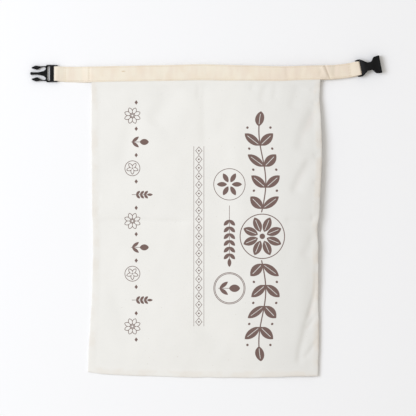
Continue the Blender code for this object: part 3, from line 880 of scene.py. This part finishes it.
def tape_thickness(x, share):
    """The tape is thinner at its woven edges and in the rows of stitches."""
    edge = from_edge(x, share)
    out = np.clip(1 - edge / TAPE_EDGE, 0, 1)
    sewn_length = (x > min(CROSS_ROWS)) & (x < max(CROSS_ROWS))
    sewn = np.exp(-(((edge - ROW_INSET) / ROW_WIDTH) ** 2)) * sewn_length
    for row in CROSS_ROWS:
        sewn = np.maximum(sewn, np.exp(-(((x - row) / ROW_WIDTH) ** 2)))
    return TAPE * (EDGE_SHARE + (1 - EDGE_SHARE) * np.sqrt(1 - out**2)) - ROW_GROOVE * sewn


def tape_face(x, share):
    """The front run's face and underside."""
    place_x, place_y = tape_point(x, share)
    shape = sum(fold_height(fold, place_x, place_y) for fold in TAPE_FOLDS)
    shape = shape + RIPPLES * waves(place_x, 0.25 * place_y, *RIPPLE_WAVES)
    under = tape_undersides(x)[1] + shape
    return under + tape_thickness(x, share), under


def tape_back_face(x, share):
    """The back run's face, which lies on the table, and its upper side."""
    under = tape_undersides(x)[0]
    return under + TAPE - tape_thickness(x, share), under + TAPE


def tape_turn(x, bar, outwards, shares):
    """The tape's turn round a bar, from its front run to its back run, as rows of points."""
    radius, height = bar
    rows = []
    for i in range(1, TURN_STEPS + 1):
        angle = math.pi * (0.5 - i / (TURN_STEPS + 1))
        sides = []
        for reach in (radius + BAR_GAP + tape_thickness(x, shares), radius + BAR_GAP + 0 * shares):
            offset = outwards * reach * math.cos(angle)
            place_x, place_y = tape_point(x, shares, offset, i / (TURN_STEPS + 1))
            sides.append(np.stack([place_x, place_y, height + reach * math.sin(angle)], axis=-1))
        rows.append(sides)
    return np.array(rows)


def heading_tape():
    """The tape as one loop, and its length."""
    shares = np.array([*(-share for share in HALF_SHARES[:0:-1]), *HALF_SHARES])
    ends = (LEFT_TAIL[0, 0], LEFT_TAIL[-1, 0], RIGHT_TAIL[0, 0], RIGHT_TAIL[-1, 0])
    x = np.concatenate([np.arange(a, b - s / 2, s) for a, b, s in zip(ends, ends[1:], RUN_STEPS)])
    x, share = np.meshgrid(np.append(x, ends[-1]), shares, indexing="ij")
    place, place_below = tape_point(x, share), tape_point(x, share, to_back=1.0)
    front, back = tape_face(x, share), tape_back_face(x, share)
    right = tape_turn(ends[-1], SOCKET_BAR, 1, shares)
    left = tape_turn(ends[0], PRONG_BAR, -1, shares)
    sides = []
    for side in (0, 1):
        front_run = np.dstack([*place, front[side]])
        back_run = np.dstack([*place_below, back[side]])
        sides.append(np.concatenate([front_run, right[:, side], back_run[::-1], left[::-1, side]]))
    outer, inner = sides
    middle = np.concatenate([inner, inner[:1]])[:, len(shares) // 2]
    run = np.concatenate([[0], np.cumsum(np.linalg.norm(np.diff(middle, axis=0), axis=1))])
    weave_map = np.dstack(np.meshgrid(run, shares * TAPE_WIDTH, indexing="ij"))
    tape = cloth_sheet("twill_tape", outer, inner, joined=True, weave_map=weave_map)
    on_run = from_edge(x, share)
    on_turn = np.broadcast_to(TAPE_WIDTH * (0.5 - np.abs(shares)), (TURN_STEPS, len(shares)))
    keep_with_points(tape, "from_edge", np.concatenate([on_run, on_turn, on_run, on_turn]))
    return tape, run[-1]


def herringbone(place, rib_pitch, yarn_pitch):
    """Fine ribs that slope to the tape's middle from both sides, crossed by its yarns."""
    run, side, _ = split(place)
    slub = noise(joined_vector(run * 60.0, side * 1500.0), 1.0)
    rib = (run + abs(side) + slub * 0.0002) / rib_pitch
    yarn = (side + slub * 0.0001) / yarn_pitch
    ribs, yarns = abs((rib * math.pi).sine()), abs((yarn * math.pi).sine())
    return {"Height": ribs * 0.7 + yarns.power(0.6) * 0.3, "Slub": slub}


HERRINGBONE = new_group("herringbone", ("Rib pitch", "Yarn pitch"), herringbone)
RIB_PITCH, YARN_PITCH = 0.0011, 0.0005
CREAM_TWILL = (0.868, 0.802, 0.674)
DEEP_CREAM = (0.835, 0.722, 0.570)
ROSY_CREAM = (0.813, 0.697, 0.588)
# Painted shade between the tape's ribs, where the weave lies low.
RIB_GAP_SHADE = (0.66, 0.56, 0.42)
SLUB_CREAM = (0.70, 0.60, 0.45)
THICK_YARN = (0.610, 0.440, 0.250)
THICK_YARN_PLACE = (0.0892, 0.0030)  # along the tape from its prong end, and up from its middle
THICK_YARN_SIZE = (0.0030, 0.0009)  # half its length, and half its width
ROW_SHADE = 0.0009  # how far from a row of stitches the tape is darker


def twill():
    made, place = new_material("cream_twill")
    on_tape = new_node(place.tree, "ShaderNodeUVMap", {}, uv_map="weave")
    weave = use_group(HERRINGBONE, on_tape, RIB_PITCH, YARN_PITCH)
    edge = point_number(place.tree, "from_edge")
    run, side, _ = split(on_tape)
    x, _, _ = split(place)
    at_right = x.step(0.03, 0.11)
    bars = noise(joined_vector(run * 75.0, side * 30.0), 1.0)
    cloud = noise(joined_vector(run * 60.0, side * 60.0, 3.0), 1.0, 3.0)
    mark_run, mark_side = moved(run, side, THICK_YARN_PLACE)
    mark = far(mark_run / THICK_YARN_SIZE[0], mark_side / THICK_YARN_SIZE[1])
    mark = 1.0 - mark.step(0.5, 1.1)
    row = 1.0 - (abs(edge - ROW_INSET) / ROW_SHADE).least(1.0)
    colour = blended(
        CREAM_TWILL,
        (bars.step(0.40, 0.66) * 0.50, ROSY_CREAM),
        (cloud.step(0.42, 0.75) * 0.50 + at_right * 0.38, DEEP_CREAM),
        (at_right * (bars.step(0.35, 0.60) * 0.35 + 0.15), ROSY_CREAM),
        (row * 0.15, DEEP_CREAM),
        (mark * 0.6, THICK_YARN),
        # painted shade between the ribs
        ((1.0 - weave["Height"]) * 0.20, RIB_GAP_SHADE),
        (weave["Slub"].step(0.62, 0.80) * 0.3, SLUB_CREAM),
    )
    relief = weave["Height"] + weave["Slub"] * 0.5
    return dress(made, colour, 0.78 + cloud * 0.14, relief, 0.5, 0.00018, 0.25, (0.10, 0.5))


tape, tape_length = heading_tape()
tape.data.materials.append(twill())
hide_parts("heading_tape")
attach(tape, "root")


# The sewing
# Cream cotton thread. A row of stitches near each edge holds the tape to the panels, and short double
# rows across it close the loops at both buckle halves and at the bag's left side.

STITCH_PITCH = 0.0031
STITCH_LENGTH = 0.0026
THREAD_WIDTH = 0.00046
THREAD_FLAT = 0.62  # the pressed thread's height as a share of its width
STITCH_SCALES = (0.86, 1.08)  # least and greatest, because no two stitches are alike
TWIST_PITCH = 0.00042
THREAD_SEED = 4
ROW_STEP = 0.0010  # spacing of the points that a row of stitches follows
FRONT_LIFT, BACK_LIFT = 0.00004, 0.00006  # from the tape's faces out to the middle of the thread
CROSS_SHARES = np.linspace(-0.41, 0.41, 18)  # places of the points in a row across the tape
SEWING_THREAD = (0.820, 0.730, 0.575)
# Painted shade in the grooves between the thread's plies.
PLY_GROOVE_SHADE = (0.60, 0.49, 0.32)


def sewing_rows():
    """The rows as lines of points on the faces of both runs."""
    lines = []
    x = np.arange(min(CROSS_ROWS), max(CROSS_ROWS), ROW_STEP)
    inset = ROW_INSET / along(BAND, 2, x)
    rows = [(x, 0.5 - inset), (x, inset - 0.5)]
    rows += [(np.full(CROSS_SHARES.shape, row), CROSS_SHARES) for row in CROSS_ROWS]
    for face, lift, to_back in ((tape_face, FRONT_LIFT, 0.0), (tape_back_face, BACK_LIFT, 1.0)):
        for x, share in rows:
            place = tape_point(x, share, to_back=to_back)
            lines.append(np.stack([*place, face(x, share)[0] + lift], axis=-1))
    return lines


def stitch_tree():
    """Lays a stitch at even steps along each line."""
    tree = bpy.data.node_groups.new("row_of_stitches", "GeometryNodeTree")
    for words, way, kind in (
        ("Rows", "INPUT", "Geometry"),
        ("Stitch pitch", "INPUT", "Float"),
        ("Stitch length", "INPUT", "Float"),
        ("Thread width", "INPUT", "Float"),
        ("Seed", "INPUT", "Int"),
        ("Thread", "INPUT", "Material"),
        ("Stitches", "OUTPUT", "Geometry"),
    ):
        tree.interface.new_socket(words, in_out=way, socket_type="NodeSocket" + kind)
    start, end = tree.nodes.new("NodeGroupInput"), tree.nodes.new("NodeGroupOutput")
    takes = {socket.name: Field(tree, socket) for socket in start.outputs}
    width = takes["Thread width"]
    node = partial(new_node, tree)
    line = node("GeometryNodeMeshToCurve", {0: takes["Rows"]})
    entries = {"Curve": line, "Length": takes["Stitch pitch"]}
    places = node("GeometryNodeResampleCurve", entries, mode="LENGTH")
    ball = node("GeometryNodeMeshUVSphere", {"Segments": 8, "Rings": 6, "Radius": 0.5})
    size = joined_vector(takes["Stitch length"], width, width * THREAD_FLAT)
    stitch = node("GeometryNodeTransform", {"Geometry": ball, "Scale": size})
    entries = {"Vector": node("GeometryNodeInputTangent", {})}
    ahead = node("FunctionNodeAlignRotationToVector", entries, axis="X")
    entries = {"Rotation": ahead, "Vector": (0, 0, 1)}
    upright = node("FunctionNodeAlignRotationToVector", entries, axis="Z", pivot_axis="X")
    entries = {2: STITCH_SCALES[0], 3: STITCH_SCALES[1], "Seed": takes["Seed"]}
    scale = node("FunctionNodeRandomValue", entries, 1, data_type="FLOAT")
    entries = {"Points": places, "Instance": stitch, "Rotation": upright, "Scale": scale}
    laid = node("GeometryNodeInstanceOnPoints", entries)
    smooth = node("GeometryNodeSetShadeSmooth", {"Geometry": laid})
    real = node("GeometryNodeRealizeInstances", {0: smooth})
    entries = {"Geometry": real, "Material": takes["Thread"]}
    feed(end.inputs[0], node("GeometryNodeSetMaterial", entries))
    return tree


def thread_material():
    """Two-ply cotton thread, whose twist shows as slanting bands."""
    made, place = new_material("cotton_thread")
    x, y, _ = split(place)
    twist = abs(((x + y * 0.8) * (math.pi / TWIST_PITCH)).sine())
    fuzz = noise(place, 3000.0)
    # painted shade between the plies, lighter on their crests
    colour = blended(PLY_GROOVE_SHADE, (twist * 0.5 + fuzz * 0.3, SEWING_THREAD))
    return dress(made, colour, 0.55 + fuzz * 0.25, twist, 0.5, 0.00006, 0.3)


def plain_mesh(piece):
    """A piece's mesh as its modifiers leave it."""
    bpy.context.view_layer.update()
    return bpy.data.meshes.new_from_object(piece.evaluated_get(bpy.context.evaluated_depsgraph_get()))


def sew(name, lines):
    """Stitches along the lines, as one plain mesh."""
    points = np.concatenate(lines)
    firsts = np.cumsum([0] + [len(line) for line in lines])
    edges = [(i, i + 1) for a, b in zip(firsts, firsts[1:]) for i in range(a, b - 1)]
    path = bpy.data.meshes.new(name)
    path.from_pydata(points.tolist(), edges, [])
    row = placed(name, path)
    tree = stitch_tree()
    settings = {
        "Stitch pitch": STITCH_PITCH,
        "Stitch length": STITCH_LENGTH,
        "Thread width": THREAD_WIDTH,
        "Seed": THREAD_SEED,
        "Thread": thread_material(),
    }
    modifier = row.modifiers.new("stitches", "NODES")
    modifier.node_group = tree
    for item in tree.interface.items_tree:
        if item.name in settings:
            modifier[item.identifier] = settings[item.name]
    mesh = plain_mesh(row)
    row.modifiers.clear()
    row.data = mesh
    return row


stitches = sew("tape_stitches", sewing_rows())
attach(stitches, "root")


# The buckle's prong half
# One moulding of black acetal for 20 mm tape. Its frame has a slot and a bar that the tape is looped
# on, and a guide between two sprung prongs that snap out of the socket half's sides.

Corner = namedtuple("Corner", "x y radius")  # radius is that of its fillet
ARC_STEP = math.radians(7)
BAR_ROOT = 0.0006  # how far a bar's ends reach into its frame
PRONG_THICK = 0.0046
PRONG_EDGE = 0.00045
PRONG_BAR_BACK = 0.0127  # from the frame's front to its bar
PRONG_WINDOW = 0.0098  # half the length of the window that the tape passes through
PRONG_FRONT = (-0.2101, 0.1931)
RECESS = 0.00045  # depth of the hollows in the mouldings' faces
HEAD_HOLLOW_EDGE = 0.0002
BAR_SIDES = 40
HEAD_SHARE = 0.88  # how much of the full thickness the prongs' heads have
# Shares of the full thickness at places along x. Guide and prongs rise apart from the thin frame.
FRAME_SHARES = [(-0.0122, 1.0), (-0.0103, 0.52), (-0.0034, 0.46), (0.0000, 0.46)]
GUIDE_SHARES = np.array([*FRAME_SHARES, (0.0080, 0.80), (0.0150, 0.80), (0.0207, 0.70)])
PRONG_SHARES = [*FRAME_SHARES, (0.0034, 0.50), (0.0070, 0.50), (0.0098, HEAD_SHARE)]
PRONG_SHARES = np.array([*PRONG_SHARES, (0.0150, HEAD_SHARE), (0.0202, 0.66)])
PRONGS_OUT = 0.0050  # the prongs lie farther than this from the middle line


def drawn(*rows):
    """The corners of an outline, from rows in millimetres."""
    return tuple(Corner(*(MM * size for size in row)) for row in rows)


def mirrored(outline):
    """The same outline on the other side of the x axis."""
    return tuple(Corner(x, -y, radius) for x, y, radius in reversed(outline))


def both_sides(half_outline):
    """A whole outline from the half of it that lies above the x axis."""
    return (*half_outline, *mirrored(half_outline))


def rounded(corners):
    """An outline through corners, each with its fillet as an arc of short steps."""
    outline = []
    for i, (x, y, radius) in enumerate(corners):
        corner = Vector((x, y))
        before = (Vector(corners[i - 1][:2]) - corner).normalized()
        after = (Vector(corners[(i + 1) % len(corners)][:2]) - corner).normalized()
        half = before.angle(after) / 2
        middle = corner + (before + after).normalized() * radius / math.sin(half)
        start = corner + before * radius / math.tan(half) - middle
        end = corner + after * radius / math.tan(half) - middle
        steps = math.ceil((math.pi - 2 * half) / ARC_STEP)
        for step in range(steps + 1):
            spoke = start.copy()
            spoke.rotate(Matrix.Rotation(-start.angle_signed(end) * step / steps, 2))
            outline.append(middle + spoke)
    return outline


def plate(name, outlines, thick, edge):
    """A flat moulding with round edges. Outlines after the first that lie inside it are holes."""
    curve = bpy.data.curves.new(name, "CURVE")
    curve.dimensions = "2D"
    curve.fill_mode = "BOTH"
    curve.extrude = thick / 2 - edge
    curve.bevel_depth = edge
    curve.bevel_resolution = 3
    curve.offset = -edge
    for corners in outlines:
        outline = rounded(corners)
        spline = curve.splines.new("POLY")
        spline.use_cyclic_u = True
        spline.points.add(len(outline) - 1)
        for point, place in zip(spline.points, outline):
            point.co = (*place, 0, 1)
    flat = placed(name, curve)
    mesh = plain_mesh(flat)
    bpy.data.objects.remove(flat)
    return mesh


def thinned(mesh, shares, inner=0.0, outer=math.inf):
    """Makes a plate thinner between two distances from its middle line, by shares of its thickness."""
    bm = bmesh.new()
    bm.from_mesh(mesh)
    bmesh.ops.remove_doubles(bm, verts=bm.verts, dist=1e-6)
    bmesh.ops.recalc_face_normals(bm, faces=bm.faces)
    for x in shares[:, 0]:
        whole = [*bm.verts, *bm.edges, *bm.faces]
        bmesh.ops.bisect_plane(bm, geom=whole, plane_co=(x, 0, 0), plane_no=(1, 0, 0))
    for vertex in bm.verts:
        if inner <= abs(vertex.co.y) < outer:
            vertex.co.z *= np.interp(vertex.co.x, *shares.T)
    bm.to_mesh(mesh)
    bm.free()


def rod(name, radius, half_length):
    """A round bar along Y."""
    bm = bmesh.new()
    size = {"radius1": radius, "radius2": radius, "depth": 2 * half_length}
    bmesh.ops.create_cone(bm, cap_ends=True, segments=BAR_SIDES, **size)
    bmesh.ops.rotate(bm, verts=bm.verts, matrix=Matrix.Rotation(math.pi / 2, 3, "X"))
    mesh = bpy.data.meshes.new(name)
    bm.to_mesh(mesh)
    bm.free()
    return mesh


def moulded(name, base, hollows, bar, place, turned):
    """One moulding from its base, with hollows cut in and its bar added, put in its place.

    A hollow is its outline, how deep it is, its round edge and its level, and the bar its radius,
    half length and distance behind the front.
    """
    radius, half_length, back = bar
    shapes = [
        ("DIFFERENCE", plate("hollow", (outline,), deep, edge), (0, 0, level))
        for outline, deep, edge, level in hollows
    ]
    shapes.append(("UNION", rod("bar", radius, half_length), (-back, 0, 0)))
    piece = placed(name, base)
    others = []
    for operation, mesh, spot in shapes:
        other = placed(mesh.name, mesh)
        other.location = spot
        boolean = piece.modifiers.new(mesh.name, "BOOLEAN")
        boolean.operation = operation
        boolean.object = other
        others.append(other)
    mesh = plain_mesh(piece)
    for other in others:
        bpy.data.objects.remove(other)
    piece.modifiers.clear()
    mesh.transform(Matrix.Translation(place) @ Matrix.Rotation(turned, 4, "Z"))
    mesh.materials.clear()
    mesh.materials.append(BLACK_ACETAL)
    mesh.shade_smooth()
    mesh.set_sharp_from_angle(angle=math.radians(32))
    piece.data = mesh
    return piece


def fine_grain(place, size):
    """The spark-eroded grain of a mould's faces, with faint rubbed places."""
    x, y, z = split(place)
    grain = noise(joined_vector(x / size, y / size, z / size), 1.0)
    scratch = noise(joined_vector(x * 900.0, y * 5000.0, z * 900.0), 1.0).step(0.64, 0.72)
    rubbed = noise(place, 160.0, 3.0).step(0.45, 0.75).most(scratch)
    return {"Height": grain - scratch * 0.6, "Rubbed": rubbed}


GRAIN = new_group("fine_grain", ("Grain size",), fine_grain)
GRAIN_SIZE = 0.00022
DEEP_BLACK, RUBBED_BLACK = (0.0040, 0.0042, 0.0046), (0.009, 0.009, 0.010)


def acetal():
    """Satin black acetal."""
    made, place = new_material("black_acetal")
    grain = use_group(GRAIN, place, GRAIN_SIZE)
    colour = blended(DEEP_BLACK, (grain["Rubbed"] * 0.5, RUBBED_BLACK))
    return dress(made, colour, 0.42 - grain["Rubbed"] * 0.10, grain["Height"], 0.25, 0.00004, 0.14)


BLACK_ACETAL = acetal()


def prong_half():
    whole = both_sides(drawn(
        (20.7, 1.9, 1.6), (18, 1.9, 0.6), (17, 1.5, 1.5), (10.5, 1.6, 12), (3, 3.2, 5),  # guide
        (0.4, 5.6, 1.4), (0.4, 8.8, 2), (4.6, 8.3, 8), (8.2, 7, 4), (11.4, 4.7, 2.2),  # prong
        (20.2, 7.3, 0.8), (13.4, 10.6, 5), (8.4, 9.4, 6), (2.6, 9.8, 4), (-0.3, 9.9, 0.4),
        (-0.7, 11.4, 0.6), (-11.2, 11.2, 8), (-15, 11, 0.5), (-15, 9.9, 0.5),  # frame
        (-12, 9.9, 3), (-9.8, PRONG_WINDOW / MM, 0.3),
    ))
    slot = both_sides(drawn((-1.7, 9.6, 2.4), (-5, 9.6, 0.6)))
    base = plate("prong_base", (whole, slot), PRONG_THICK, PRONG_EDGE)
    thinned(base, GUIDE_SHARES, outer=PRONGS_OUT)
    thinned(base, PRONG_SHARES, inner=PRONGS_OUT)
    head = drawn((11.5, 6.2, 1), (17.4, 7.4, 0.6), (13.4, 9.6, 2), (10, 8, 0.8))
    heads = (head, mirrored(head))
    top = HEAD_SHARE * PRONG_THICK / 2
    hollows = [(one, 2 * RECESS, HEAD_HOLLOW_EDGE, z) for one in heads for z in (top, -top)]
    bar = (PRONG_BAR[0], PRONG_WINDOW + BAR_ROOT, PRONG_BAR_BACK)
    return moulded("prong_moulding", base, hollows, bar, (*PRONG_FRONT, PRONG_THICK / 2), math.pi)


prongs = prong_half()
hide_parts("prong_buckle_half")
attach(prongs, "root")


# The buckle's socket half
# The other moulding of the same acetal: a waisted shell, hollow from its mouth to past its waist, with
# two arms behind that hold the bar for the tape.

SOCKET_THICK = 0.0080
SOCKET_EDGE = 0.00055
SOCKET_BAR_BACK = 0.0288  # from the mouth to the bar
SOCKET_WINDOW = 0.0095
SOCKET_ROOM = (0.0205, 0.0190, 0.0052)  # depth, width and height inside
ROOM_EDGE, FACE_HOLLOW_EDGE = 0.0004, 0.0003
SHELL_SHARES = np.array([(-0.0330, 0.55), (-0.0264, 0.72), (-0.0228, 0.86), (-0.0205, 1.0)])
SOCKET_MOUTH = (0.2278, 0.20545)


def socket_half():
    whole = both_sides(drawn(
        (0, 11.8, 1), (-7.6, 10.8, 1.3), (-11.4, 5.3, 2.6), (-17, 5.3, 5), (-25.6, 11.3, 4),
        (-29, 11.4, 7), (-32.2, 10.8, 0.5), (-32.2, 9.6, 0.5), (-25.8, SOCKET_WINDOW / MM, 0.3),
    ))
    base = plate("socket_base", (whole,), SOCKET_THICK, SOCKET_EDGE)
    thinned(base, SHELL_SHARES)
    depth, width, height = SOCKET_ROOM
    room = both_sides((Corner(depth, width / 2, 0.0005), Corner(-depth, width / 2, 0.0010)))
    face_hollow = both_sides(drawn((-1.6, 9.2, 1), (-6.2, 8.6, 1), (-10.4, 3.6, 2)))
    top = SOCKET_THICK / 2
    hollows = [(room, height, ROOM_EDGE, 0)]
    hollows += [(face_hollow, 2 * RECESS, FACE_HOLLOW_EDGE, z) for z in (top, -top)]
    bar = (SOCKET_BAR[0], SOCKET_WINDOW + BAR_ROOT, SOCKET_BAR_BACK)
    return moulded("socket_moulding", base, hollows, bar, (*SOCKET_MOUTH, top), SOCKET_TURN)


socket = socket_half()
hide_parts("socket_buckle_half")
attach(socket, "root")
